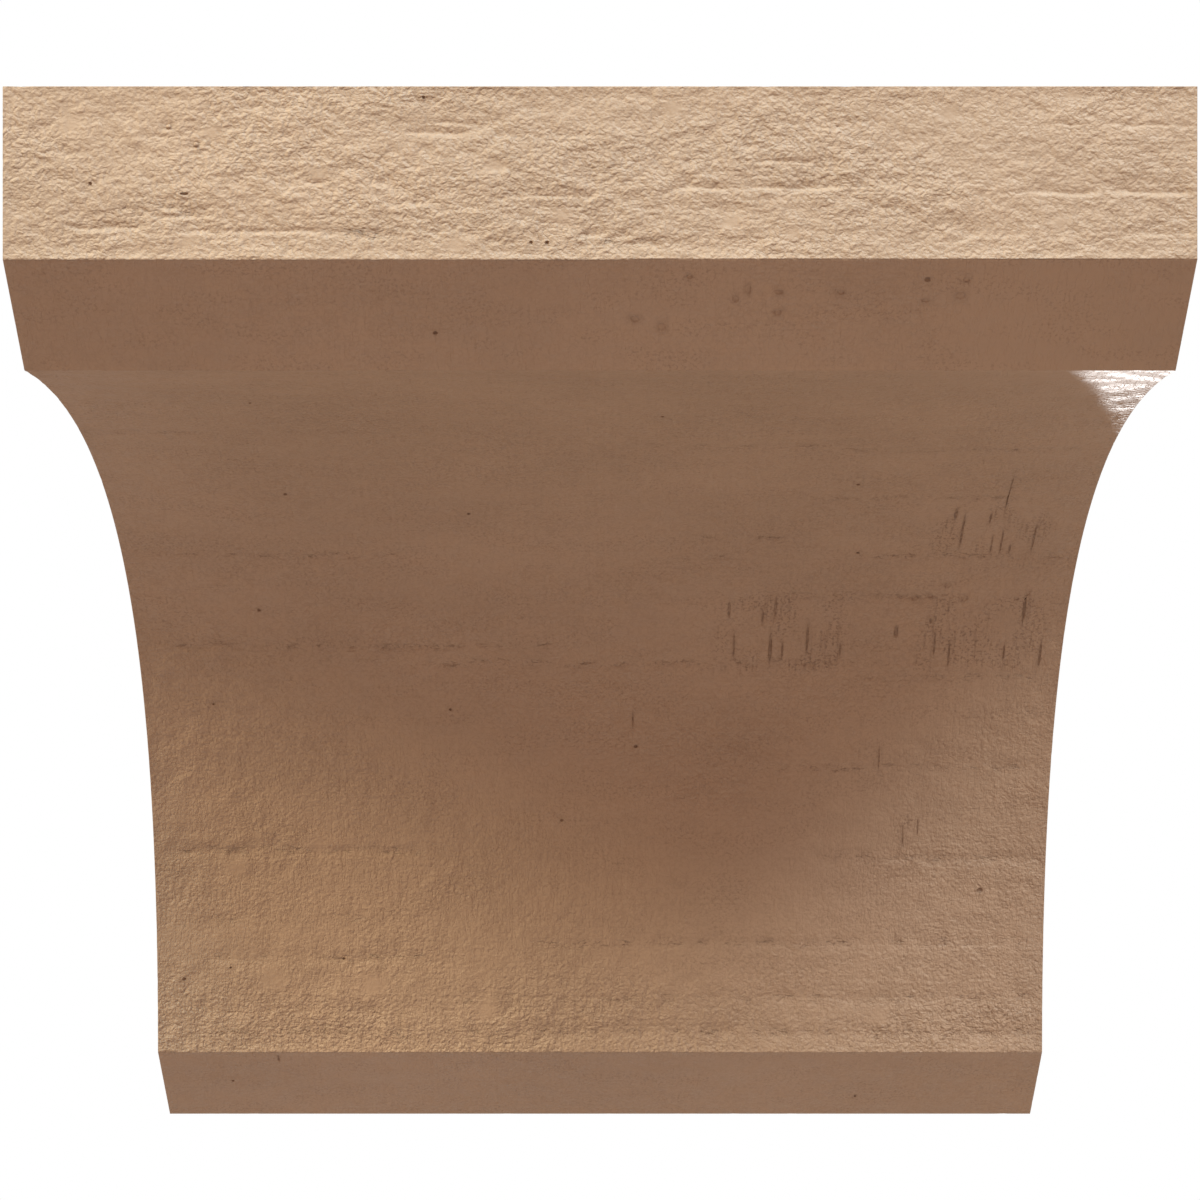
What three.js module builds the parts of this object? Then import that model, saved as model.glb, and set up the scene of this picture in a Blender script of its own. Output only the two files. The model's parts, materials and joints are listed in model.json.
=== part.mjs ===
// Corbel with a coved underside: a square bracket that is built into a wall and carries what lies on top.
// It is moulded in one piece, to look like rough-sawn timber.
//
// Units are millimetres and +Z is up. The origin is the centre of the back face, where the corbel meets
// the wall. +Y points into the wall, so the front face is at y = -DEPTH. +X is to the right seen from
// the front.

import * as THREE from 'three';

// Overall sizes
const WIDTH = 304.8;
const HEIGHT = 304.8;
const DEPTH = 304.8;

// Side profile, from the front of the top down to the wall
const BAND_HEIGHT = 44.45; // upright front face
const UPPER_STRIP_RUN = 25.4; // sloping strip under the band, towards the wall
const UPPER_STRIP_DROP = 25.4;
const LOWER_STRIP_RUN = 25.4; // sloping strip under the cove, towards the wall
const LOWER_STRIP_DROP = 25.4;
const FOOT_DEPTH = 44.45; // flat underside next to the wall

// The cove starts level under the upper strip and ends upright above the lower one. Its two handles are
// this share of its run and of its drop: 0.552 would be a quarter of an ellipse, and more is squarer.
const COVE_FULLNESS = 0.645;
const COVE_STEPS = 112;

const FINISH_COLOUR = 0xc19a76;
const FINISH_ROUGHNESS = 0.6;

// The profile is drawn with its first coordinate along the object's y and its second along z.
function profile() {
  const top = HEIGHT / 2;
  const underside = -HEIGHT / 2;
  const bandFoot = top - BAND_HEIGHT;
  const coveFrontY = -DEPTH + UPPER_STRIP_RUN;
  const coveTopZ = bandFoot - UPPER_STRIP_DROP;
  const coveBackY = -FOOT_DEPTH - LOWER_STRIP_RUN;
  const coveFootZ = underside + LOWER_STRIP_DROP;
  const handleRun = COVE_FULLNESS * (coveBackY - coveFrontY);
  const handleDrop = COVE_FULLNESS * (coveTopZ - coveFootZ);

  const outline = new THREE.Shape();
  outline.moveTo(0, underside);
  outline.lineTo(0, top);
  outline.lineTo(-DEPTH, top);
  outline.lineTo(-DEPTH, bandFoot);
  outline.lineTo(coveFrontY, coveTopZ);
  outline.bezierCurveTo(
    coveFrontY + handleRun, coveTopZ,
    coveBackY, coveFootZ + handleDrop,
    coveBackY, coveFootZ,
  );
  outline.lineTo(-FOOT_DEPTH, underside);
  outline.closePath();
  return outline;
}

// The profile is pulled out along the width. The extrusion runs along its own z, so its three axes are
// turned into the object's: profile x to y, profile y to z, and the length to x.
function bodyGeometry() {
  const geometry = new THREE.ExtrudeGeometry(profile(), {
    depth: WIDTH,
    bevelEnabled: false,
    curveSegments: COVE_STEPS,
  });
  geometry.translate(0, 0, -WIDTH / 2);
  const turn = new THREE.Matrix4().makeBasis(
    new THREE.Vector3(0, 1, 0),
    new THREE.Vector3(0, 0, 1),
    new THREE.Vector3(1, 0, 0),
  );
  geometry.applyMatrix4(turn);
  return geometry;
}

function makeCorbel() {
  const material = new THREE.MeshStandardMaterial({
    color: FINISH_COLOUR,
    roughness: FINISH_ROUGHNESS,
    metalness: 0,
  });
  const mesh = new THREE.Mesh(bodyGeometry(), material);
  mesh.name = 'corbel';
  return mesh;
}

const group = new THREE.Group();
group.add(makeCorbel());

export default group;
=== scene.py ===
# %% [markdown]
# A corbel is the bracket that carries a shelf, beam or eave out from a wall. This one is cast in one piece in
# a mould that was taken from rough-sawn timber, and has a thin tan coat. So the lesson has one piece to
# make, and almost all of the work is in its skin: the low relief that the saw left, a few air holes from the
# casting, and a satin coat that shows both.
#
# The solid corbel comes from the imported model, which is the fixed frame. It is loaded first and never
# changed, and the corbel's own sizes are read from it.

# %% Load the frame
import json
import math

import bmesh
import bpy
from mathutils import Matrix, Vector, noise

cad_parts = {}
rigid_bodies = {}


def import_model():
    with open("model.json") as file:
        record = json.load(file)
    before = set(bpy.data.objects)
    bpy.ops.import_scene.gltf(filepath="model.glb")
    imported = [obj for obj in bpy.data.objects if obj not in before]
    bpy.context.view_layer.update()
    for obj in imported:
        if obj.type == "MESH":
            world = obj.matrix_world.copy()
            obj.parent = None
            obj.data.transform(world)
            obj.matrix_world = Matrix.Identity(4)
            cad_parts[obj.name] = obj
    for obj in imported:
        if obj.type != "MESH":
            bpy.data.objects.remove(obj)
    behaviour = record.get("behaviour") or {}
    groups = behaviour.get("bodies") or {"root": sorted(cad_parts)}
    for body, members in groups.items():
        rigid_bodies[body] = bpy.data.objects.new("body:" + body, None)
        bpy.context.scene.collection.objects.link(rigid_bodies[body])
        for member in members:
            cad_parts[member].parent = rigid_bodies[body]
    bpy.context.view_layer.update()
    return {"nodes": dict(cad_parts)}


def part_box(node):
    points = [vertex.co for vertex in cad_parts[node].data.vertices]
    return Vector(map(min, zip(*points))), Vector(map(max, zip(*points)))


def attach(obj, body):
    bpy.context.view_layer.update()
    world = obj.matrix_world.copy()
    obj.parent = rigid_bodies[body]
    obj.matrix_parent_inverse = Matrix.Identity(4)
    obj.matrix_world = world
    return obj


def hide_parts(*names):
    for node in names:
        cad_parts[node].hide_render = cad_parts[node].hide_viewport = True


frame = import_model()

MM = 0.001
low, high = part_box("corbel")
half_width = high.x
print("corbel from", tuple(low), "to", tuple(high))

# %% [markdown]
# The photograph was taken from straight in front, level, a little over two widths away from the front face.
# Level shows in the upright edges, which are parallel. The eye is at the height where the widths of the upper
# and lower parts shrink towards the same point, a little below the middle of the picture. A camera could be
# tilted to place the object in the picture, but that would make the upright edges lean. A lens shift moves
# the picture and keeps them upright, so the camera is level and shifted.
#
# Four numbers from the photograph, in its 1200 pixel frame, settle it: the width of the front face, the
# height of the horizon, the middle of the front face, and the focal length that makes the sloping strips
# rise at 45 degrees.

# %% Place the camera
IMAGE_PX = 1200
FRONT_WIDTH_PX = 1197.0
FRONT_MIDDLE_PX = 600.05
HORIZON_PX = 683.7
FOCAL_PX = 2625.0
SENSOR_MM = 36.0

distance = FOCAL_PX * 2 * half_width / FRONT_WIDTH_PX
eye = Vector((0, low.y - distance, 0))

lens = bpy.data.cameras.new("camera")
lens.sensor_width = SENSOR_MM
lens.lens = SENSOR_MM * FOCAL_PX / IMAGE_PX
lens.shift_x = (IMAGE_PX / 2 - FRONT_MIDDLE_PX) / IMAGE_PX
lens.shift_y = (HORIZON_PX - IMAGE_PX / 2) / IMAGE_PX
camera = bpy.data.objects.new("camera", lens)
camera.location = eye
camera.rotation_euler = (math.pi / 2, 0, 0)
bpy.context.scene.collection.objects.link(camera)
bpy.context.scene.camera = camera
print(f"camera {distance:.3f} m in front, lens {lens.lens:.1f} mm")

# %% [markdown]
# The skin starts as a copy of the solid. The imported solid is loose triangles, so the copy is merged where
# corners meet, and flat neighbours are joined into whole faces. That leaves the plain block: one face for
# each flat side and one narrow face for each step of the cove. It could also be drawn again from its sizes,
# but a copy can't differ from the solid by mistake.

# %% Copy the solid as whole faces
SAME_POINT = 0.001 * MM
STILL_FLAT = math.radians(0.1)

body = bmesh.new()
body.from_mesh(frame["nodes"]["corbel"].data)
bmesh.ops.remove_doubles(body, verts=body.verts, dist=SAME_POINT)
bmesh.ops.dissolve_limit(body, angle_limit=STILL_FLAT, verts=body.verts, edges=body.edges)
print("plain block:", len(body.faces), "faces")

# %% [markdown]
# The outline is the line round the side of the block. A point of the front skin is best named by two
# lengths: how far across it is, and how far down the outline from the top front edge. Those are the places
# that a sheet of veneer would have before it was bent round the block, so marks keep their size in the cove
# too. The outline is read from the left side face. It starts at its front corner, the highest one there, and
# ends at the foot of the wall. A turn of more than 20 degrees in it is an edge of the corbel. The cove's own
# steps turn by far less.

# %% Measure the outline
SHARP_TURN = math.radians(20)
FRONT_ROUNDING = 1.5 * MM
TOO_FAR = 70 * MM
COVE_STEP_LIMIT = 10 * MM

side_face = min(body.faces, key=lambda face: face.calc_center_median().x)
corners = [(corner.co.y, corner.co.z) for corner in side_face.verts]
start = corners.index(min(corners, key=lambda corner: (round(corner[0], 5), -corner[1])))
corners = corners[start:] + corners[:start]
if corners[1][1] > corners[0][1] - SAME_POINT:
    corners = corners[:1] + corners[:0:-1]
outline = [Vector(corner) for corner in corners if corner != (high.y, high.z)]
runs = [0.0]
for first, second in zip(outline, outline[1:]):
    runs.append(runs[-1] + (second - first).length)
print(f"outline of {len(outline)} corners, {runs[-1] / MM:.1f} mm down the front")


def run_of(y, z):
    """How far down the outline the nearest point lies. On the top it counts backwards from the front edge."""
    if z > high.z - FRONT_ROUNDING and y > low.y + FRONT_ROUNDING:
        return low.y - y
    point = Vector((y, z))
    best = (1.0, 0.0)
    for first, second, run in zip(outline, outline[1:], runs):
        step = second - first
        if abs(first.x - y) + abs(first.y - z) > TOO_FAR and step.length < COVE_STEP_LIMIT:
            continue
        share = max(0.0, min(1.0, (point - first).dot(step) / step.length_squared))
        best = min(best, ((first + share * step - point).length, run + share * step.length))
    return best[1]


turns = [
    run
    for before, corner, after, run in zip(outline, outline[1:], outline[2:], runs[1:])
    if (corner - before).angle(after - corner) > SHARP_TURN
]
band_foot, strip_foot, cove_foot, lower_edge = turns
print("edges down the outline, in mm:", [round(turn / MM, 1) for turn in turns])

# %% [markdown]
# No cast edge is a perfect line. The outer edges are bevelled by a third of a millimetre, which is about one
# pixel of the photograph. The edges against the wall stay as they are, because that face is cut flat. Each
# crease is marked sharp now, while there are few edges: the cuts that follow hand the mark on.

# %% Soften the outer edges
EDGE_SOFTNESS = 0.35 * MM
SMOOTH_TURN = math.radians(9)
HAIR = 0.01 * MM


def on_wall(edge):
    return all(end.co.y > high.y - HAIR for end in edge.verts)


creases = [
    edge for edge in body.edges
    if edge.calc_face_angle(0) > SHARP_TURN and not on_wall(edge)
]
bmesh.ops.bevel(
    body, geom=creases, offset=EDGE_SOFTNESS, offset_type="OFFSET", segments=2, profile=0.5,
    affect="EDGES", material=-1,
)
for edge in body.edges:
    edge.smooth = edge.calc_face_angle(0) < SMOOTH_TURN
for face in body.faces:
    face.smooth = True
print("softened block:", len(body.faces), "faces")

# %% [markdown]
# Relief needs corners to move, so the faces are cut into small cells. The saw marks are longer across than
# they are high, so cells can be too: about 1.5 mm across everywhere, less than half a millimetre high on the
# front band, where the light rakes the relief, and 1.5 mm high in the cove. One even grid over the whole
# block would need several times as many cells for the same look on the band.

# %% Cut the front, top and underside into cells
COLUMNS = 200
BAND_ROWS = 98
STRIP_ROWS = 22
COVE_ROWS_PER_STEP = 2
UNDERSIDE_ROWS = 14
TOP_ROWS = 36
SHORTEST_CUT = 1 * MM
SQUARE_ON = 0.99


def rows_for(edge):
    """How many rows of cells a face gets along this edge of the block."""
    first, second = (end.co for end in edge.verts)
    if abs(first.x - second.x) > HAIR or (first - second).length < SHORTEST_CUT or on_wall(edge):
        return 1
    middle = (first + second) / 2
    run = run_of(middle.y, middle.z)
    if run < 0:
        return TOP_ROWS
    if run < band_foot:
        return BAND_ROWS
    if strip_foot < run < cove_foot:
        return COVE_ROWS_PER_STEP
    if run > lower_edge:
        return UNDERSIDE_ROWS
    return STRIP_ROWS


side_faces = [face for face in body.faces if abs(face.normal.x) > SQUARE_ON]
bmesh.ops.delete(body, geom=side_faces, context="FACES_ONLY")
rows = body.edges.layers.int.new("rows")
for edge in body.edges:
    edge[rows] = rows_for(edge)
for count in (TOP_ROWS, BAND_ROWS, STRIP_ROWS, COVE_ROWS_PER_STEP, UNDERSIDE_ROWS):
    downhill = [edge for edge in body.edges if edge[rows] == count]
    for edge in downhill:
        edge[rows] = 1
    bmesh.ops.subdivide_edges(body, edges=downhill, cuts=count - 1, use_grid_fill=True)
across = [edge for edge in body.edges if abs(edge.verts[0].co.x - edge.verts[1].co.x) > half_width]
bmesh.ops.subdivide_edges(body, edges=across, cuts=COLUMNS - 1, use_grid_fill=True)
print("front, top and underside:", len(body.faces), "cells")

# %% [markdown]
# The two side faces were taken off first, because a face with hundreds of corners confuses the cutting.
# They go back now as one face each, which takes up every corner of its rim. Level and upright slices then
# cut each into squares. The photograph doesn't show the sides, so their squares are larger.

# %% Put the side faces back and slice them
SIDE_CELL = 3.8 * MM
SLICE_SNAP = 0.25 * MM

rim = [edge for edge in body.edges if edge.is_boundary]
filled = bmesh.ops.edgeloop_fill(body, edges=rim)["faces"]
for face in filled:
    face.smooth = True
bmesh.ops.recalc_face_normals(body, faces=body.faces)


def slice_sides(cells, normal, first, last):
    """Cuts the side faces along evenly spaced planes and returns what they have become."""
    count = round((last - first) / SIDE_CELL)
    for step in range(1, count):
        place = Vector(normal) * (first + (last - first) * step / count)
        cut = bmesh.ops.bisect_plane(body, geom=cells, dist=SLICE_SNAP, plane_co=place, plane_no=normal)
        cells = cut["geom"]
    return cells


sides = list({part for face in filled for part in (face, *face.edges, *face.verts)})
sides = slice_sides(sides, (0, 1, 0), low.y, high.y)
sides = slice_sides(sides, (0, 0, 1), low.z, high.z)
side_cells = sum(isinstance(part, bmesh.types.BMFace) for part in sides)
print("both sides:", side_cells, "cells; open edges:", sum(edge.is_boundary for edge in body.edges))

# %% [markdown]
# Now each corner gets its two lengths, across and down. On the front skin and the top they are the place on
# the unrolled outline. On the two sides they are the depth and the height, and on the wall face the width
# and the height. They go on the faces as a map, in metres, for the finish: one that reads this map runs
# round the cove without stretching. The length down is also kept on each corner, for the marks.

# %% Lay out the unrolled map
SHARE_OF_FLAT = 0.95
known_runs = {}


def quick_run_of(point):
    """run_of, worked out once for all the corners in a line across the corbel."""
    key = (round(point.y, 6), round(point.z, 6))
    if key not in known_runs:
        known_runs[key] = run_of(point.y, point.z)
    return known_runs[key]


def part_of(normal):
    if abs(normal.x) > SHARE_OF_FLAT:
        return "side"
    if normal.y > SHARE_OF_FLAT:
        return "wall"
    if normal.z > SHARE_OF_FLAT:
        return "top"
    return "front"


def place_on(part, point):
    """The two lengths of a point on one part of the skin."""
    if part == "side":
        return point.y, point.z
    if part == "wall":
        return point.x, point.z
    return point.x, quick_run_of(point)


unrolled = body.loops.layers.uv.new("unrolled")
SKIN_STATES = ("worn", "torn", "chatter", "rough", "hatch")
kept = {name: body.verts.layers.float.new(name) for name in (*SKIN_STATES, "pit", "down")}
body.normal_update()
for face in body.faces:
    part = part_of(face.normal)
    for corner in face.loops:
        corner[unrolled].uv = place_on(part, corner.vert.co)
print("unrolled map over", len(known_runs), "lines across")

# %% [markdown]
# These are the marks that can be told apart in the photograph, named and given in millimetres: across
# from the middle, and down the outline from the top front edge.
#
# - A ledge is where one pass of the saw stood deeper than the next. Light from above catches its lip.
# - A groove is a thin level line where a fibre came away.
# - A torn row is a line of small pieces pulled out along the grain.
# - Chatter is a patch that the teeth left faintly ribbed.
# - A worn spot is a low pad that is rubbed smooth, so that the fine grain is gone.
# - A bead is a drop of the casting that filled a bubble in the mould. It stands in a slight hollow.

# %% Name the marks in the grain
LEDGES = [  # first and last across, down, height
    (19, 65, 25.9, 0.50),
    (104, 153, 27.3, 0.42),
    (-136, -118, 36.4, 0.42),
    (-106, -70, 37.2, 0.26),
    (-70, -52, 38.4, 0.34),
    (-50, -25, 12.0, 0.30),
    (-52, -42, 29.8, 0.30),
    (-23, -3, 28.3, 0.26),
    (-5, 12, 38.2, 0.34),
    (50, 66, 10.4, 0.22),
    (80, 110, 37.8, 0.22),
    (136, 153, 37.8, 0.26),
    (-40, 0, 12.8, 0.14),
    (-110, -98, 33.4, 0.26),
    (-148, -62, 348.5, 0.30),
    (62, 153, 351.0, 0.34),
    (-134, -70, 386.0, 0.30),
    (10, 153, 381.0, 0.34),
    (55, 153, 400.5, 0.26),
    (-134, -50, 404.0, 0.30),
    (-20, 153, 412.0, 0.42),
]
GROOVES = [  # first and last across, down
    (-124, -108, 31.4),
    (-122, -110, 33.0),
    (-104, -72, 36.8),
    (-50, -24, 11.8),
    (-45, -30, 9.4),
    (12, 21, 3.6),
    (-8, 14, 40.6),
    (-30, -14, 39.9),
    (64, 78, 13.6),
    (114, 153, 10.0),
    (140, 153, 14.9),
    (88, 101, 39.8),
    (-8, 1, 37.9),
    (-20, -6, 26.4),
    (30, 58, 19.6),
    (-78, -62, 24.4),
]
TORN_ROWS = [  # first and last across, down
    (-122, -103, 31.8),
    (-69, -52, 38.6),
    (-5, 12, 39.4),
    (-153, -65, 156.8),
    (12, 71, 167.0),
    (61, 143, 170.0),
    (68, 142, 201.6),
    (28, 62, 223.0),
    (-143, -64, 230.6),
    (19, 45, 232.9),
    (83, 147, 232.0),
    (57, 117, 249.9),
    (-148, -8, 271.2),
    (-62, 95, 278.0),
    (88, 146, 283.6),
    (60, 148, 317.7),
    (-147, -52, 348.0),
    (-134, -117, 372.0),
    (-93, -81, 372.0),
    (75, 150, 350.3),
    (-22, 151, 380.2),
    (-140, -60, 385.5),
    (-49, 151, 399.6),
    (-133, 151, 411.5),
]
CHATTER = [  # first and last across, first and last down
    (104, 142, 202, 234),
    (37, 84, 248, 281),
    (104, 146, 250, 281),
    (101, 110, 335, 347),
]
BEADS = [  # across, down, radius
    (-110, 10.4, 0.7),
    (-103, 15, 0.7),
]
WORN_SPOTS = [  # across, down, half width
    (-99, 12.3, 2.6),
    (-71.5, 22.5, 2.2),
    (-26.5, 20.4, 2.6),
    (-9.4, 33.2, 2.8),
    (-105, 39.3, 2.6),
    (-36.7, 40.6, 2.8),
    (-135, 9.8, 2.4),
    (18.6, 5.9, 2.4),
    (33.6, 35.0, 2.6),
    (49.1, 37.5, 2.2),
    (89, 7.5, 2.6),
    (120, 2.5, 2.2),
    (117, 35.0, 2.2),
    (-124, 354, 3.5),
    (-112, 393, 5.0),
    (-78, 395, 4.5),
    (-96, 346, 3.5),
    (-39, 404, 4.0),
    (96, 405, 4.0),
]
print(len(LEDGES), "ledges,", len(GROOVES), "grooves,", len(TORN_ROWS), "torn rows")

# %% [markdown]
# The relief is a depth at each point, in millimetres, and is only ever cut inwards, so the corbel never grows
# past its solid. It is the sum of waves, from slow swells to small pads, and of the named marks. Blender's
# noise gives the uneven parts: it is smooth, and the same on every run. The place is divided by a length and
# a height before the noise is read, which sets the size of the marks and stretches them along the grain.
# Each call also has a seed of its own, a whole number, so that no two patterns lie on top of each other.
#
# The skin isn't equally rough everywhere. The sloping strips are smoothest. The cove grows rougher towards
# its foot and its lower right, and is nearly flat at its top right corner, where it catches the glint. A pair
# of lengths in millimetres says where such a change begins and where it is complete.

# %% Work out the depth of the relief
BAND_WAVES = ((34, 14, 0.32), (10, 7, 0.32), (4.4, 3.8, 0.30), (2.6, 2.3, 0.28))  # long, tall, depth
COVE_WAVES = ((60, 36, 0.16), (9, 12, 0.34), (4.8, 6.0, 0.48), (2.6, 3.2, 0.42))
MEAN_CUT = 0.38
STRIP_ROUGH = 0.45
COVE_ROUGH = 0.64
FOOT_ROUGHER = 0.46
FOOT_STARTS = (385, 408)
LOWER_RIGHT_ROUGHER = 0.15
RIGHT_STARTS = (50, 130)
LOWER_STARTS = (300, 380)
CORNER_CALM = 0.85
CORNER_STARTS = (85, 100)
CORNER_ENDS = (100, 116)
TORN_DEPTH = 0.34
TORN_HALF = 1.5
TORN_WAVER = 2.2
GROOVE_DEPTH = 0.26
GROOVE_HALF = 0.42
GROOVE_WAVER = 1.6
LEDGE_RUN = 5.0
LEDGE_STEP = 0.7
LEDGE_WAVER = 1.4
LEDGE_REACH = 1.6
BAND_LIP = 1.0
COVE_LIP = 2.0
WORN_RISE = 0.08
WORN_CALM = 0.8
BEAD_HOLLOW = 0.15
EDGE_FADE = 2.5
EDGE_CUT = 0.20
LEAST_CUT = 0.02


def smooth(first, last, value):
    """0 before first, 1 after last, with a soft start and end."""
    share = max(0.0, min(1.0, (value - first) / (last - first)))
    return share * share * (3 - 2 * share)


def between(first, last, soft, value):
    """1 inside a stretch, falling to 0 over a soft margin at each end."""
    return smooth(first - soft, first + soft, value) * (1 - smooth(last - soft, last + soft, value))


def uneven(across, down, long, tall, seed):
    """Stretched noise, from 0 to 1."""
    return 0.5 + 0.5 * noise.noise(Vector((across / long, down / tall, 7.3 * seed)))


def waves(across, down, sizes):
    """Adds up signed noise, from slow swells to small pads."""
    return sum(
        depth * noise.noise(Vector((across / long, down / tall, 3.7 * seed)))
        for seed, (long, tall, depth) in enumerate(sizes, start=1)
    )


def worn_at(across, down):
    """1 on a worn spot. Its outline is uneven."""
    worn = 0.0
    for spot_across, spot_down, half in WORN_SPOTS:
        away = math.hypot((across - spot_across) / half, (down - spot_down) / (0.8 * half))
        if away < 2:
            worn = max(worn, 1 - smooth(0.3, 1.5, away + 1.0 * uneven(across, down, 2.6, 2, 4) - 0.5))
    return worn


def torn_at(across, down):
    """1 where a torn row has lost a piece. The row wavers a little."""
    torn = 0.0
    for first, last, row in TORN_ROWS:
        off = down - row - TORN_WAVER * (uneven(across, row, 30, 1, 5) - 0.5)
        if abs(off) < 4:
            pulled = smooth(0.36, 0.62, uneven(across, down, 5.5, 2.2, 6))
            torn = max(torn, between(first, last, 6, across) * math.exp(-(off / TORN_HALF) ** 2) * pulled)
    return torn


def chatter_at(across, down):
    """1 inside a patch of chatter, which is uneven itself."""
    patchy = smooth(0.35, 0.6, uneven(across, down, 9, 12, 9))
    return patchy * max(
        between(first, last, 2.5, across) * between(top, foot, 1.2, down)
        for first, last, top, foot in CHATTER
    )


def ledge_depth(across, down):
    """Deepest just above the lip. It fades slowly upwards, and within the lip's width downwards."""
    cut = 0.0
    lip_width = BAND_LIP if down < band_foot / MM else COVE_LIP
    for first, last, lip, tall in LEDGES:
        above = lip - down + LEDGE_WAVER * (uneven(across, lip, 9, 1, 7) - 0.5)
        broken_off = smooth(0.25, 0.6, uneven(across, lip, 6, 1, 19))
        reach = LEDGE_REACH * tall * between(first, last, 5, across) * broken_off
        if 0 < above < 3 * LEDGE_RUN:
            cut += reach * (0.6 * math.exp(-above / LEDGE_RUN) + 0.4 * math.exp(-above / LEDGE_STEP))
        elif -lip_width < above <= 0:
            cut += reach * (1 - smooth(0, lip_width, -above))
    return cut


def groove_depth(across, down):
    """A groove wavers, and is deeper in some places than in others."""
    cut = 0.0
    for first, last, line in GROOVES:
        off = down - line - GROOVE_WAVER * (uneven(across, line, 12, 1, 10) - 0.5)
        if abs(off) < 2:
            deep = GROOVE_DEPTH * smooth(0.3, 0.6, uneven(across, line, 4, 1, 11))
            cut += deep * between(first, last, 3, across) * math.exp(-(off / GROOVE_HALF) ** 2)
    return cut


def edge_share(across, down):
    """1 over most of the front, and 0 at its edges, so that they stay straight and clean."""
    off = min(half_width / MM - abs(across), abs(down), *(abs(down - turn / MM) for turn in turns))
    return smooth(0, EDGE_FADE, off)


def roughness_at(across, down):
    """How strong the waves are, and the fine marks with them."""
    rough = 0.65 + 0.35 * smooth(0.3, 0.7, uneven(across, down, 38, 15, 2))
    if down < band_foot / MM:
        return rough
    if strip_foot / MM < down < cove_foot / MM:
        lower_right = smooth(*RIGHT_STARTS, across) * smooth(*LOWER_STARTS, down)
        rough *= COVE_ROUGH + FOOT_ROUGHER * smooth(*FOOT_STARTS, down) + LOWER_RIGHT_ROUGHER * lower_right
    else:
        rough *= STRIP_ROUGH
    return rough * (1 - CORNER_CALM * smooth(*CORNER_STARTS, across) * (1 - smooth(*CORNER_ENDS, down)))


def front_relief(across, down):
    """Depth, and how worn, torn, chattered, rough and hatched the skin is, at a place in millimetres."""
    on_band = down < band_foot / MM
    worn = worn_at(across, down)
    torn = torn_at(across, down)
    rough = roughness_at(across, down)
    relief = rough * waves(across, down, BAND_WAVES if on_band else COVE_WAVES)
    cut = MEAN_CUT + relief * (1 - WORN_CALM * worn) - WORN_RISE * worn + TORN_DEPTH * torn
    cut += ledge_depth(across, down)
    if on_band:
        cut += groove_depth(across, down) + BEAD_HOLLOW * sum(
            math.exp(-((across - bead_across) ** 2 + (down - bead_down) ** 2) / (3 * radius) ** 2)
            for bead_across, bead_down, radius in BEADS
        )
    cut = EDGE_CUT + (max(LEAST_CUT, cut) - EDGE_CUT) * edge_share(across, down)
    return cut, worn, torn, chatter_at(across, down), rough, 0.0 if on_band else 1.0


def plain_relief(across, down):
    """The same for the faces that the photograph doesn't show: swells, a few torn rows and a little wear."""
    cut = 0.30 * uneven(across, down, 48, 26, 12) + 0.12 * uneven(across, down, 18, 8, 13)
    rows = smooth(0.62, 0.78, uneven(0, down, 1, 9, 14)) * smooth(0.45, 0.7, uneven(across, down, 26, 6, 15))
    worn = 0.5 * smooth(0.7, 0.85, uneven(across, down, 20, 14, 16))
    return cut, worn, 0.6 * rows, 0.0, 0.5 + 0.3 * smooth(0.2, 0.8, uneven(across, down, 38, 15, 2)), 0.6


# %% Cut the relief
WALL_MARGIN = 6.0
NICK_DEPTH = 0.10

moves = []
deepest = 0.0
for vertex in body.verts:
    part = part_of(vertex.normal)
    across, down = (length / MM for length in place_on(part, vertex.co))
    cut, *skin_state = (front_relief if part == "front" else plain_relief)(across, down)
    for name, value in zip((*SKIN_STATES, "down"), (*skin_state, down)):
        vertex[kept[name]] = value
    if part == "wall":
        continue
    if any(not edge.smooth for edge in vertex.link_edges):
        cut = EDGE_CUT + NICK_DEPTH * smooth(0.58, 0.85, uneven(across, down, 5, 5, 17))
    cut *= smooth(0, WALL_MARGIN, (high.y - vertex.co.y) / MM)
    deepest = max(deepest, cut)
    moves.append((vertex, -cut * MM * vertex.normal))
for vertex, move in moves:
    vertex.co += move
print(f"relief cut into {len(moves)} corners, {deepest:.2f} mm at the deepest")
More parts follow.
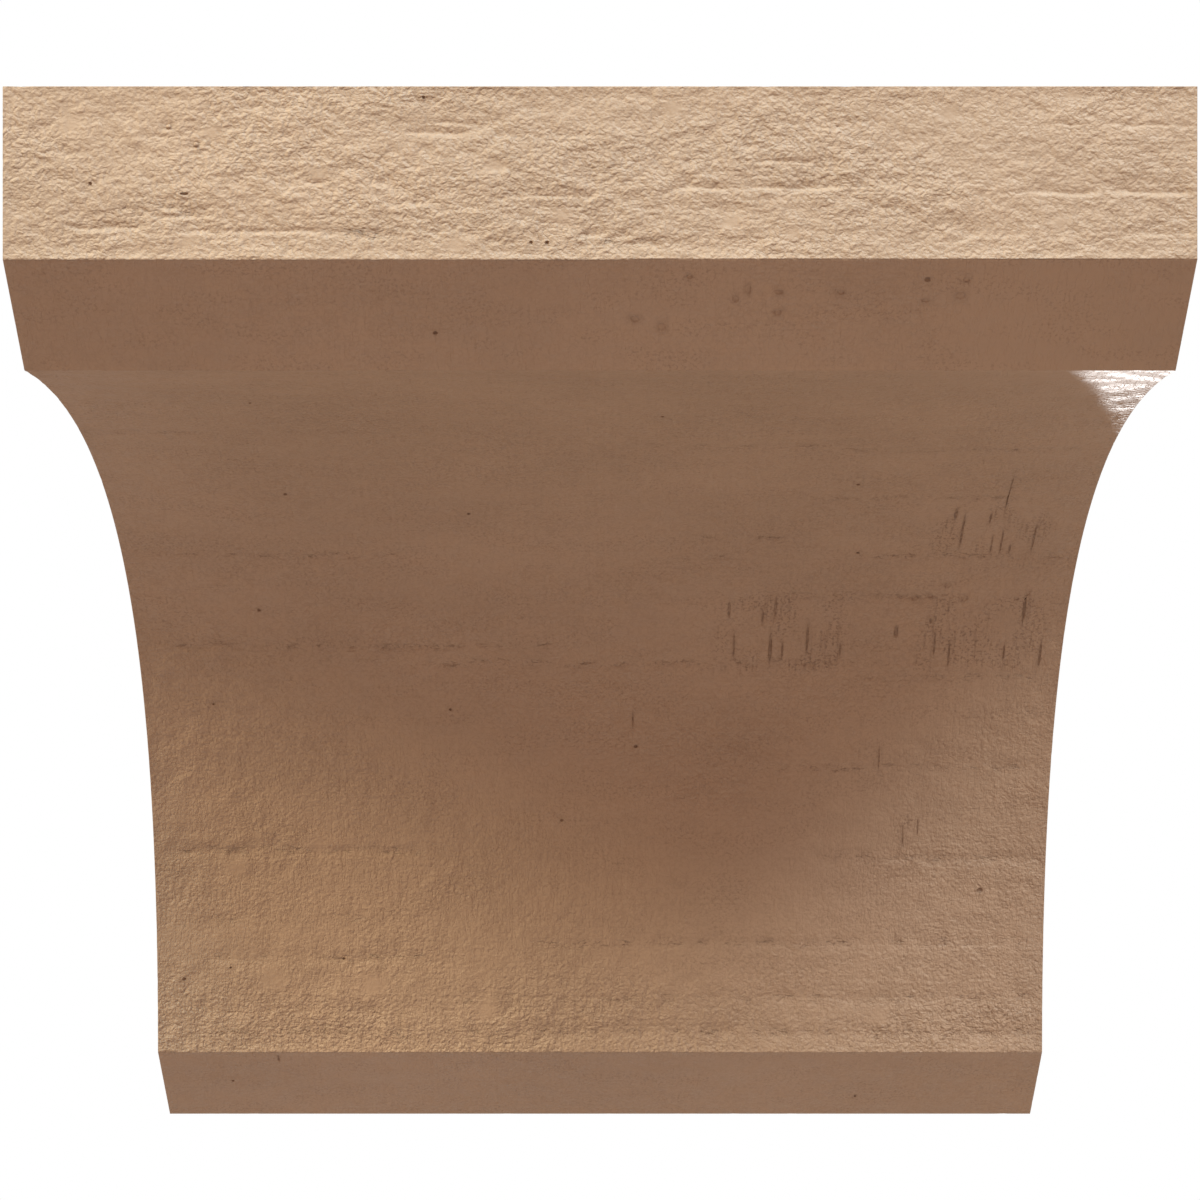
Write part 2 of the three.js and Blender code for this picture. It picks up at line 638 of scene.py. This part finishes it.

# %% [markdown]
# Small sharp marks are finer than the cells, so they need corners of their own. The cells under a mark are
# dissolved into one face. That face is inset, and each new ring of corners is drawn onto an ellipse on the
# relief: the rim, the wall and the floor. The same steps make all four kinds. An air hole is a bubble that
# met the skin of the casting. A dent is shallow, with painted shade darkest on its wall. A tick is a narrow
# upright cut from one tooth of the saw, deeper where it is wider. A bead is made as a hole is, but stands up.
#
# Each ring is given as a share of the mark's size, a share of its depth, and how much painted shade darkens
# the colour there: holes and ticks are painted dark inside, and a bead has a painted dark ring round its
# foot.

# %% Name the small marks
AIR_HOLES = [  # across, down, radius
    (-130, 25, 0.7),
    (-45, 3, 0.6),
    (-17.6, 40, 0.7),
    (-13.5, 40, 0.8),
    (84, 51, 1.2),
    (-43, 68, 0.9),
    (-99, 129, 0.6),
    (18, 143, 0.7),
    (79, 193, 0.8),
    (-97, 199, 0.9),
    (-41, 210, 0.8),
    (82, 230, 0.7),
    (-111, 256, 0.9),
    (-129, 294, 0.6),
    (-50, 296, 0.7),
    (12, 310, 0.9),
    (-13, 337, 0.8),
    (130, 362, 1.5),
    (-143, 393, 1.0),
    (-127, 389, 0.6),
    (-88, 386, 0.7),
    (-128, 435, 0.8),
    (89.5, 444, 0.7),
]
DENTS = [  # across, down, half across, half down
    (38, 54, 0.9, 2.1),
    (46, 55, 1.3, 0.9),
    (46, 61.5, 1.2, 1.2),
    (9, 63.5, 1.3, 1.3),
    (16, 66, 1.2, 1.6),
    (35, 57, 1.0, 1.2),
    (62, 55, 1.0, 0.8),
    (84, 57.5, 1.2, 0.7),
    (94, 51, 1.0, 1.0),
    (23, 50, 0.9, 0.9),
    (93, 56, 1.4, 1.4),
    (135, 251, 0.8, 0.9),
    (138.5, 249, 0.6, 0.9),
    (112, 245, 1.4, 1.2),
    (102, 251, 1.2, 1.2),
    (107, 250, 0.9, 1.1),
    (118, 251, 1.4, 1.5),
]
TICKS = [  # across, first and last down, half width
    (114, 208, 230, 0.40),
    (111, 206, 214, 0.55),
    (126, 183, 214, 0.22),
    (127, 217, 233, 0.35),
    (124, 219, 233, 0.30),
    (130, 225, 231, 0.40),
    (137, 214, 232, 0.40),
    (122, 209, 216, 0.40),
    (42, 251, 260, 0.50),
    (44, 264, 277, 0.40),
    (53, 255, 263, 0.40),
    (57, 249, 260, 0.45),
    (56, 264, 280, 0.60),
    (60, 268, 277, 0.40),
    (68, 260, 276, 0.45),
    (97, 262, 268, 0.75),
    (108, 259, 262, 0.60),
    (110, 264, 276, 0.35),
    (115, 268, 281, 0.40),
    (138, 250, 262, 0.60),
    (145, 268, 281, 0.50),
    (133, 269, 278, 0.40),
    (79, 269, 276, 0.35),
    (11, 296, 304, 0.30),
    (103, 338, 347, 0.35),
    (108, 336, 343, 0.35),
    (94, 309, 320, 0.30),
    (-111, 419.8, 424, 0.45),
]
LONG_HOLE = (-106, 27.6, 1.2, 0.4)

# %% Sink the small marks
HOLE_SHARE = 0.75
HOLE_DEPTH = 0.5
DENT_DEPTH = 0.25
TICK_STEEPNESS = 0.70
BEAD_HEIGHT = 0.40
MARK_MARGIN = 0.75
THIN_INSET = 0.01 * MM
# The third number of each ring is painted shade: how far its colour is darkened, to stand for the shade in
# the mark.
HOLE_RINGS = ((1.0, 0.0, 0.2), (0.8, 0.6, 1.0), (0.4, 1.0, 1.0))
DENT_RINGS = ((1.0, 0.0, 0.35), (0.75, 0.8, 0.55), (0.4, 1.0, 0.2))
TICK_RINGS = ((1.0, 0.0, 0.2), (0.6, 0.9, 0.9), (0.2, 1.0, 0.9))
BEAD_RINGS = ((1.0, 0.3, 0.5), (0.75, -0.5, 0.0), (0.4, -1.0, 0.0))


def skin_point(across, down, sink):
    """The place on the relief at two lengths in millimetres, and this far under it."""
    along = down * MM
    first, second, run = max(
        (part for part in zip(outline, outline[1:], runs) if part[2] <= along), key=lambda part: part[2]
    )
    step = (second - first).normalized()
    start = first + (along - run) * step
    cut = MM * max(LEAST_CUT, front_relief(across, down)[0] + sink)
    return Vector((across * MM, start.x - cut * step.y, start.y + cut * step.x))


def take_patch(across, down, half_across, half_down):
    """Joins the cells under a mark into one face, and gives each of its corners a place from -1 to 1."""
    taken = []
    for face, (middle, height, wide, tall) in cells.items():
        if (abs(middle - across) < half_across + MARK_MARGIN * wide
                and abs(height - down) < half_down + MARK_MARGIN * tall):
            taken.append(face)
    for face in taken:
        del cells[face]
    patch = bmesh.ops.dissolve_faces(body, faces=taken)["region"][0]
    spots = {corner: (corner.co.x / MM, corner[kept["down"]]) for corner in patch.verts}
    lows, highs = ([pick(spot[axis] for spot in spots.values()) for axis in (0, 1)] for pick in (min, max))
    for corner, spot in spots.items():
        spots[corner] = [2 * (spot[axis] - lows[axis]) / (highs[axis] - lows[axis]) - 1 for axis in (0, 1)]
    return patch, spots


def add_ring(patch, spots, mark, share, sink, shade):
    """Insets the patch once, and draws its new corners onto an ellipse."""
    across, down, half_across, half_down = mark
    bmesh.ops.inset_individual(body, faces=[patch], thickness=THIN_INSET)
    inner = {}
    for corner in patch.verts:
        neighbours = (edge.other_vert(corner) for edge in corner.link_edges)
        a, b = spots[next(near for near in neighbours if near in spots)]
        inner[corner] = (a, b)
        new_across = across + share * half_across * a * math.sqrt(1 - b * b / 2)
        new_down = down + share * half_down * b * math.sqrt(1 - a * a / 2)
        corner.co = skin_point(new_across, new_down, sink)
        corner[kept["down"]] = new_down
        # Painted shade for the colour at this ring.
        corner[kept["pit"]] = shade
        for loop in corner.link_loops:
            loop[unrolled].uv = (new_across * MM, new_down * MM)
    if share == 1:
        for edge in patch.edges:
            edge.smooth = False
    return inner


def make_mark(mark, rings, tall):
    """A mark is its place across and down, and half its size each way."""
    patch, spots = take_patch(*mark)
    for share, sink, shade in rings:
        spots = add_ring(patch, spots, mark, share, sink * tall, shade)


def extent_of(face):
    """The middle of a cell, across and down, and its size, in millimetres."""
    spots = [(corner.co.x / MM, corner[kept["down"]]) for corner in face.verts]
    spans = [(min(values), max(values)) for values in zip(*spots)]
    middle, height = ((first + last) / 2 for first, last in spans)
    wide, tall = (last - first for first, last in spans)
    return middle, height, wide, tall


body.normal_update()
cells = {
    face: extent_of(face) for face in body.faces
    if len(face.verts) == 4 and part_of(face.normal) == "front"
}
for across, down, radius in AIR_HOLES:
    make_mark((across, down, HOLE_SHARE * radius, HOLE_SHARE * radius), HOLE_RINGS, HOLE_DEPTH)
make_mark(LONG_HOLE, HOLE_RINGS, HOLE_DEPTH)
for across, down, radius in BEADS:
    make_mark((across, down, radius, radius), BEAD_RINGS, BEAD_HEIGHT)
for mark in DENTS:
    make_mark(mark, DENT_RINGS, DENT_DEPTH)
for across, first, last, half in TICKS:
    make_mark((across, (first + last) / 2, half, (last - first) / 2), TICK_RINGS, TICK_STEEPNESS * half)
print(len(AIR_HOLES) + 1, "air holes,", len(BEADS), "beads,", len(DENTS), "dents,", len(TICKS), "ticks")

# %% [markdown]
# The skin is finished: it is cut into triangles and becomes the object that stands in for the solid. Its
# origin is the corbel's own, so it needs no placing.

# %% Make the piece
bmesh.ops.triangulate(body, faces=body.faces)
bmesh.ops.recalc_face_normals(body, faces=body.faces)
skin = bpy.data.meshes.new("corbel_body")
body.to_mesh(skin)
body.free()
corbel_body = bpy.data.objects.new("corbel_body", skin)
bpy.context.scene.collection.objects.link(corbel_body)
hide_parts("corbel")
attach(corbel_body, "root")
print("corbel_body:", len(skin.polygons), "triangles")

# %% [markdown]
# The finish is built from nodes, and five small helpers keep that short. One adds a node and fills its
# sockets with values or with other sockets, one does sums, one is a soft step, and one gives stretched noise
# on the unrolled map. The last folds noise at its middle, which leaves rounded pads with a crease between
# them, as torn fibres have. Folded narrowly, it leaves only thin lines.

# %% Helpers for nodes
NOISE_ROUGHNESS = 0.55


def add(tree, kind, inputs=(), **options):
    node = tree.nodes.new("ShaderNode" + kind)
    for name, value in options.items():
        setattr(node, name, value)
    for name, value in dict(inputs).items():
        if isinstance(value, bpy.types.NodeSocket):
            tree.links.new(value, node.inputs[name])
        else:
            node.inputs[name].default_value = value
    return node


def sums(tree, operation, *values, clamp=False):
    return add(tree, "Math", dict(enumerate(values)), operation=operation, use_clamp=clamp).outputs[0]


def ramp(tree, value, first, last, low_end=0.0, high_end=1.0):
    """Goes softly from low_end to high_end as the value goes from first to last."""
    inputs = {"Value": value, 1: first, 2: last, 3: low_end, 4: high_end}
    return add(tree, "MapRange", inputs, interpolation_type="SMOOTHSTEP").outputs["Result"]


def stretched(tree, place, long, tall, seed, detail=1.0):
    """Noise from 0 to 1 whose marks are this long across and this tall, in millimetres."""
    moved = add(
        tree, "VectorMath", {0: place, 1: (1 / long, 1 / tall, 0), 2: (13.7 * seed, 7.1 * seed, 0)},
        operation="MULTIPLY_ADD",
    )
    inputs = {"Vector": moved.outputs[0], "Scale": 1.0, "Detail": detail, "Roughness": NOISE_ROUGHNESS}
    return add(tree, "TexNoise", inputs, noise_dimensions="2D").outputs[0]


def folded(tree, value, half):
    """0 along the lines where noise crosses its middle, rising to 1 this far away from it."""
    away = sums(tree, "ABSOLUTE", sums(tree, "SUBTRACT", value, 0.5))
    return sums(tree, "DIVIDE", away, half, clamp=True)


# %% [markdown]
# The marks under about a millimetre are too fine for the mesh, so a node group gives them as a height in
# millimetres, which a Bump node turns into light and shade. Everywhere there is a grain and small pads. The
# cove and the strips also have a lace of broken fibres, upright streaks from the saw's teeth, level lines,
# and a net of thin cracks. Torn rows have cracks, chatter has ticks, and both have specks, as have loose
# patches of the cove and the strips. A worn spot has little of any of them.
#
# The group also puts out painted shade: how far each point's colour is darkened, to stand for the shade in
# the creases between pads, in cracks, ticks and specks, and in the small marks. The specks are only this
# painted shade and have no height.

# %% Build the saw marks
GRAIN = 0.50
PADS = 0.18
LACE = 0.28
STREAK = 0.16
LINE = 0.08
CRACK = 0.25
NET = 0.08
TICK = 0.10
WAVER = 2.4
# How much shade is painted into the colour in creases, specks, ticks and cracks.
CREASE_SHADE = 0.40
SPECK_SHADE = 0.8
TICK_SHADE = 0.3
CRACK_SHADE = 0.45
WORN_FADE = 0.75

saw_marks = bpy.data.node_groups.new("Saw marks", "ShaderNodeTree")
saw_marks.interface.new_socket("Place", in_out="INPUT", socket_type="NodeSocketVector")
for name in ("Worn", "Torn", "Chatter", "Rough", "Hatch", "Pit"):
    saw_marks.interface.new_socket(name, in_out="INPUT", socket_type="NodeSocketFloat")
for name in ("Height", "PaintedShade"):
    saw_marks.interface.new_socket(name, in_out="OUTPUT", socket_type="NodeSocketFloat")
given = saw_marks.nodes.new("NodeGroupInput").outputs
place = given["Place"]

streaked_areas = ramp(saw_marks, stretched(saw_marks, place, 30, 44, 2), 0.42, 0.60)
lined_areas = ramp(saw_marks, stretched(saw_marks, place, 60, 14, 3), 0.42, 0.60)
speckled_areas = ramp(saw_marks, stretched(saw_marks, place, 26, 9, 14, detail=2.0), 0.40, 0.66, 0.0, 0.50)

grain = stretched(saw_marks, place, 1.5, 1.3, 4, detail=2.0)
pads = folded(saw_marks, stretched(saw_marks, place, 2.4, 2.0, 5), 0.33)
shift = sums(saw_marks, "MULTIPLY", stretched(saw_marks, place, 5, 5, 13), WAVER)
both_ways = add(saw_marks, "CombineXYZ", {0: shift, 1: shift}).outputs[0]
wavy = add(saw_marks, "VectorMath", {0: place, 1: both_ways}).outputs[0]
lace = folded(saw_marks, stretched(saw_marks, place, 3.2, 3.2, 12, detail=2.0), 0.30)
streak = folded(saw_marks, stretched(saw_marks, wavy, 3.6, 30, 6), 0.26)
line = folded(saw_marks, stretched(saw_marks, wavy, 30, 3.0, 7), 0.12)
streak = sums(saw_marks, "MULTIPLY", sums(saw_marks, "SUBTRACT", 1.0, streak), streaked_areas)
line = sums(saw_marks, "MULTIPLY", sums(saw_marks, "SUBTRACT", 1.0, line), lined_areas)
crack = ramp(saw_marks, stretched(saw_marks, wavy, 4.0, 0.9, 8, detail=3.0), 0.54, 0.66)
tick = ramp(saw_marks, stretched(saw_marks, place, 1.1, 13, 9), 0.60, 0.72)
net = folded(saw_marks, stretched(saw_marks, place, 2.2, 8.0, 15, detail=3.0), 0.07)
net = sums(saw_marks, "MULTIPLY", sums(saw_marks, "SUBTRACT", 1.0, net), given["Hatch"])
speck = ramp(saw_marks, stretched(saw_marks, place, 1.0, 0.9, 10, detail=2.0), 0.54, 0.66)
crack = sums(saw_marks, "MULTIPLY", crack, given["Torn"])
tick = sums(saw_marks, "MULTIPLY", tick, given["Chatter"])

hatched = sums(saw_marks, "MULTIPLY", streak, STREAK)
hatched = sums(saw_marks, "MULTIPLY_ADD", line, LINE, hatched)
hatched = sums(saw_marks, "SUBTRACT", hatched, sums(saw_marks, "MULTIPLY", lace, LACE))
height = sums(saw_marks, "MULTIPLY", grain, GRAIN)
height = sums(saw_marks, "MULTIPLY_ADD", pads, PADS, height)
height = sums(saw_marks, "SUBTRACT", height, sums(saw_marks, "MULTIPLY", hatched, given["Hatch"]))
height = sums(saw_marks, "MULTIPLY", height, given["Rough"])
for mark, deep in ((crack, CRACK), (tick, TICK), (net, NET)):
    height = sums(saw_marks, "SUBTRACT", height, sums(saw_marks, "MULTIPLY", mark, deep))
fresh = sums(saw_marks, "SUBTRACT", 1.0, sums(saw_marks, "MULTIPLY", given["Worn"], WORN_FADE))
height = sums(saw_marks, "MULTIPLY", height, fresh)

# Painted shade: the colour is darkened in the creases between pads, in cracks, ticks and specks, less on worn
# spots, and in the small marks.
creased = sums(saw_marks, "MULTIPLY", ramp(saw_marks, pads, 0.0, 0.3, CREASE_SHADE, 0.0), given["Rough"])
ripped = sums(saw_marks, "MAXIMUM", given["Torn"], given["Chatter"])
ripped = sums(saw_marks, "MAXIMUM", ripped, sums(saw_marks, "MULTIPLY", speckled_areas, given["Hatch"]))
specked = sums(saw_marks, "MULTIPLY", sums(saw_marks, "MULTIPLY", speck, ripped), SPECK_SHADE)
painted_shade = sums(saw_marks, "MULTIPLY_ADD", crack, CRACK_SHADE, creased)
painted_shade = sums(saw_marks, "MULTIPLY_ADD", tick, TICK_SHADE, painted_shade)
painted_shade = sums(saw_marks, "MULTIPLY", sums(saw_marks, "ADD", painted_shade, specked), fresh)
broken = ramp(saw_marks, stretched(saw_marks, place, 0.9, 1.6, 11), 0.35, 0.6, 0.5, 1.0)
painted_shade = sums(saw_marks, "MULTIPLY_ADD", given["Pit"], broken, painted_shade, clamp=True)

put_out = saw_marks.nodes.new("NodeGroupOutput")
saw_marks.links.new(height, put_out.inputs["Height"])
saw_marks.links.new(painted_shade, put_out.inputs["PaintedShade"])
print("saw marks:", len(saw_marks.nodes), "nodes")

# %% [markdown]
# The coat is a tan primer, sprayed on thin. It is satin: it blurs reflections but still shines at a low
# angle. The colour drifts by a few hundredths over the block, and is painted darker in cracks, creases and
# small marks, as shade.

# %% Make the tan coat
TAN = (0.449, 0.318, 0.218)
# The tan that painted shade darkens the colour towards, in cracks, creases and small marks.
SHADED_TAN = (0.27, 0.18, 0.12)
DULLEST = 0.955
DRIFT = 0.06
CLOUD = 0.03
SMOOTHEST, ROUGHEST = 0.50, 0.62

coat = bpy.data.materials.new("tan primer")
coat.use_nodes = True
tree = coat.node_tree
tree.nodes.clear()
unrolled_map = add(tree, "UVMap", uv_map="unrolled").outputs["UV"]
place = add(tree, "VectorMath", {0: unrolled_map, "Scale": 1 / MM}, operation="SCALE").outputs[0]
skin_marks = {
    name.capitalize(): add(tree, "Attribute", attribute_name=name).outputs["Fac"]
    for name in (*SKIN_STATES, "pit")
}
marks = tree.nodes.new("ShaderNodeGroup")
marks.node_tree = saw_marks
tree.links.new(place, marks.inputs["Place"])
for name, socket in skin_marks.items():
    tree.links.new(socket, marks.inputs[name])

drift = ramp(tree, stretched(tree, place, 70, 45, 21, detail=3.0), 0.3, 0.7)
cloud = ramp(tree, stretched(tree, place, 9, 6, 22, detail=3.0), 0.3, 0.7)
tone = sums(tree, "ADD", sums(tree, "MULTIPLY", drift, DRIFT), sums(tree, "MULTIPLY", cloud, CLOUD))
tone = sums(tree, "ADD", tone, DULLEST)
base = add(tree, "VectorMath", {0: TAN, "Scale": tone}, operation="SCALE").outputs[0]
# Painted shade from the saw marks darkens the tan towards the shaded tan.
colour = add(
    tree, "Mix", {0: marks.outputs["PaintedShade"], "A": base, "B": (*SHADED_TAN, 1)}, data_type="RGBA",
)
gloss = ramp(tree, cloud, 0, 1, SMOOTHEST, ROUGHEST)
raised = add(tree, "Bump", {"Height": marks.outputs["Height"], "Distance": MM})
surface = add(tree, "BsdfPrincipled", {"Roughness": gloss, "Normal": raised.outputs["Normal"]})
tree.links.new(colour.outputs["Result"], surface.inputs["Base Color"])
end = tree.nodes.new("ShaderNodeOutputMaterial")
tree.links.new(surface.outputs["BSDF"], end.inputs["Surface"])
skin.materials.append(coat)
print("tan primer:", len(tree.nodes), "nodes")

# %% [markdown]
# The picture is a studio cut-out: a white background, soft light from everywhere that is a little warm, a
# main light that rakes down the front band, and two more from the upper left and right that reach past the
# overhang into the lower cove. One narrow light behind the right edge gives the glint at the cove's corner.

# %% Hang the lights
AIM = Vector((0, (low.y + high.y) / 2, 0))
SPREAD = math.radians(45)
SOFTBOX = (0.9, 0.9)
LAMP_DISTANCE = 2.2
GLINT_PLACE = (0.40, 1.16, -0.29)
GLINT_SIZE = (0.07, 0.07)
AMBIENT = (0.500, 0.340, 0.274, 1)
WHITE = (1, 1, 1, 1)


def softbox(name, place, size, watts, colour, aim=AIM):
    lamp = bpy.data.lights.new(name, "AREA")
    lamp.shape = "RECTANGLE"
    lamp.size, lamp.size_y = size
    lamp.energy = watts
    lamp.color = colour
    lamp.spread = SPREAD
    box = bpy.data.objects.new(name, lamp)
    box.location = place
    box.rotation_euler = (aim - box.location).to_track_quat("-Z", "Y").to_euler()
    box.visible_camera = False
    bpy.context.scene.collection.objects.link(box)
    return box


def from_side(turn, rise):
    """A place at lamp distance: degrees to the right of straight in front, and degrees up."""
    turn, rise = math.radians(turn), math.radians(rise)
    way = Vector((math.sin(turn) * math.cos(rise), -math.cos(turn) * math.cos(rise), math.sin(rise)))
    return AIM + LAMP_DISTANCE * way


softbox("key", from_side(-8, 58), SOFTBOX, 1.38, (0.02, 0.57, 1.0))
softbox("left", from_side(-58, 38), SOFTBOX, 4.00, (1.0, 0.92, 0.66))
softbox("right", from_side(34, 44), SOFTBOX, 3.45, (0.93, 1.0, 1.0))
softbox("glint", GLINT_PLACE, GLINT_SIZE, 0.50, WHITE[:3])

world = bpy.data.worlds.new("studio")
world.use_nodes = True
air = world.node_tree
air.nodes.clear()
soft_light = add(air, "Background", {"Color": AMBIENT, "Strength": 1.0})
white = add(air, "Background", {"Color": WHITE, "Strength": 1.0})
seen = add(air, "LightPath").outputs["Is Camera Ray"]
both = add(air, "MixShader", {0: seen, 1: soft_light.outputs[0], 2: white.outputs[0]})
sky = air.nodes.new("ShaderNodeOutputWorld")
air.links.new(both.outputs[0], sky.inputs["Surface"])
bpy.context.scene.world = world
bpy.context.scene.view_settings.view_transform = "Standard"
print("4 softboxes and a soft sky")

# %% [markdown]
# The corbel belongs on a wall, above eye level, so the floor lies well below it. The soft light is warm. The
# floor sends it on as pale paper would, but shows itself in a cooler white, which makes up for that.

# %% Lay the floor
FLOOR_HEIGHT = -0.9
FLOOR_SIZE = 2.4
PAPER_ROUGHNESS = 0.8
WARM_PAPER = (0.82, 0.81, 0.79, 1)
COOL_PAPER = (0.74, 0.94, 1.0, 1)

ground = bmesh.new()
bmesh.ops.create_grid(ground, x_segments=1, y_segments=1, size=FLOOR_SIZE)
bmesh.ops.translate(ground, verts=ground.verts, vec=(0, 0, FLOOR_HEIGHT))
floor_mesh = bpy.data.meshes.new("floor")
ground.to_mesh(floor_mesh)
ground.free()
floor = bpy.data.objects.new("floor", floor_mesh)
bpy.context.scene.collection.objects.link(floor)
paper = bpy.data.materials.new("pale paper")
paper.use_nodes = True
paper_skin = paper.node_tree.nodes["Principled BSDF"]
paper_skin.inputs["Roughness"].default_value = PAPER_ROUGHNESS
seen = add(paper.node_tree, "LightPath").outputs["Is Camera Ray"]
paper_colour = add(paper.node_tree, "Mix", {0: seen, "A": WARM_PAPER, "B": COOL_PAPER}, data_type="RGBA")
paper.node_tree.links.new(paper_colour.outputs["Result"], paper_skin.inputs["Base Color"])
floor_mesh.materials.append(paper)
print("floor at", FLOOR_HEIGHT, "m")
